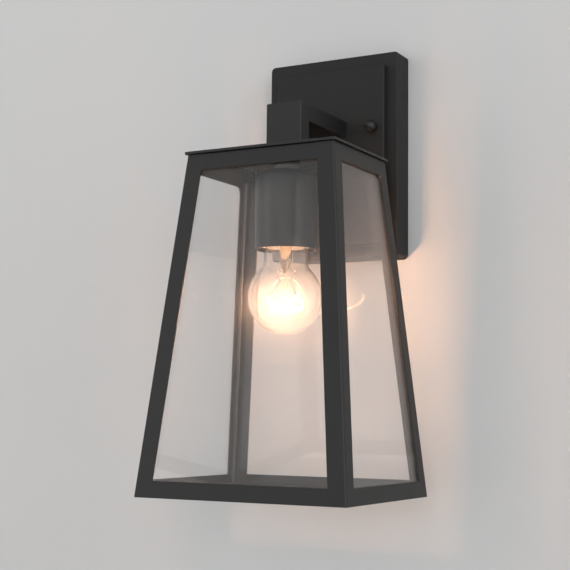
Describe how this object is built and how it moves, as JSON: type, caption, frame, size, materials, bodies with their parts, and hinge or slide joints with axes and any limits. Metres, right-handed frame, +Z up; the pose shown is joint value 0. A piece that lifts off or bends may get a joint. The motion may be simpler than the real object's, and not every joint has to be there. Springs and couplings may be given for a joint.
{
  "type": "outdoor wall lantern",
  "caption": "Tapered rectangular glazed lantern with a flat roof, hung from a wall plate by an angled arm, with a bare lamp in a drawn cup.",
  "frame": {"origin": "centre of the mounting strap on the wall, level with the middle of the arm", "axes": "+Z up, the wall is the plane Y = 0 and the lantern stands out along -Y, +X is the right-hand side seen from in front"},
  "size_m": [0.183, 0.1785, 0.3745],
  "materials": {
    "powder_coat": "fine matte powder coat",
    "clear_glass": "clear float glass",
    "lamp_glass": "clear blown glass",
    "zinc_steel": "zinc plated",
    "brass": "machined",
    "nickel_cap": "bright drawn",
    "porcelain": "glazed",
    "black_insulator": "vitreous black",
    "foam": "closed-cell foam",
    "terminal_plastic": "moulded polyamide",
    "tungsten": "drawn wire",
    "brown_sleeve": "extruded sleeve",
    "blue_sleeve": "extruded sleeve",
    "green_sleeve": "extruded sleeve"
  },
  "bodies": {
    "lantern": {"arm_end_plate": "zinc_steel", "arm_foot_plate": "zinc_steel", "arm_nipple": "zinc_steel", "arm_nut": "zinc_steel", "arm_screws": "zinc_steel", "arm_tube": "powder_coat", "arm_washer": "zinc_steel", "bottom_rail_front": "powder_coat", "bottom_rail_left": "powder_coat", "bottom_rail_rear": "powder_coat", "bottom_rail_right": "powder_coat", "centre_contact": "brass", "corner_bracket_front_left": "powder_coat", "corner_bracket_front_right": "powder_coat", "corner_bracket_rear_left": "powder_coat", "corner_bracket_rear_right": "powder_coat", "cup_nipple": "zinc_steel", "cup_nut": "zinc_steel", "cup_spacer": "powder_coat", "earth_screw": "zinc_steel", "holder_terminals": "brass", "lamp_cup": "powder_coat", "lampholder_body": "porcelain", "lead_earth": "green_sleeve", "lead_live": "brown_sleeve", "lead_neutral": "blue_sleeve", "mounting_strap": "zinc_steel", "pane_front": "clear_glass", "pane_left": "clear_glass", "pane_rear": "clear_glass", "pane_right": "clear_glass", "post_front_left": "powder_coat", "post_front_right": "powder_coat", "post_rear_left": "powder_coat", "post_rear_right": "powder_coat", "raised_panel": "powder_coat", "roof_plate": "powder_coat", "roof_screws": "zinc_steel", "strap_studs": "zinc_steel", "stud_nuts": "zinc_steel", "terminal_block": "terminal_plastic", "terminal_screws": "zinc_steel", "threaded_shell": "brass", "top_rail_front": "powder_coat", "top_rail_left": "powder_coat", "top_rail_rear": "powder_coat", "top_rail_right": "powder_coat", "wall_gasket": "foam", "wall_plate": "powder_coat"},
    "lamp": {"bulb_cap": "nickel_cap", "bulb_contact": "brass", "bulb_filament": "tungsten", "bulb_glass": "lamp_glass", "bulb_insulator": "black_insulator", "bulb_leads": "tungsten", "bulb_stem": "lamp_glass", "bulb_supports": "tungsten"},
    "nut_left": {"cap_nut_left": "powder_coat"},
    "nut_right": {"cap_nut_right": "powder_coat"}
  },
  "joints": [
    {"name": "lamp_out", "type": "slide", "parent": "lantern", "child": "lamp", "axis": [0, 0, -1], "range_m": [0, 0.16]},
    {"name": "nut_left_off", "type": "slide", "parent": "lantern", "child": "nut_left", "axis": [0, -1, 0], "range_m": [0, 0.018]},
    {"name": "nut_right_off", "type": "slide", "parent": "lantern", "child": "nut_right", "axis": [0, -1, 0], "range_m": [0, 0.018]}
  ]
}
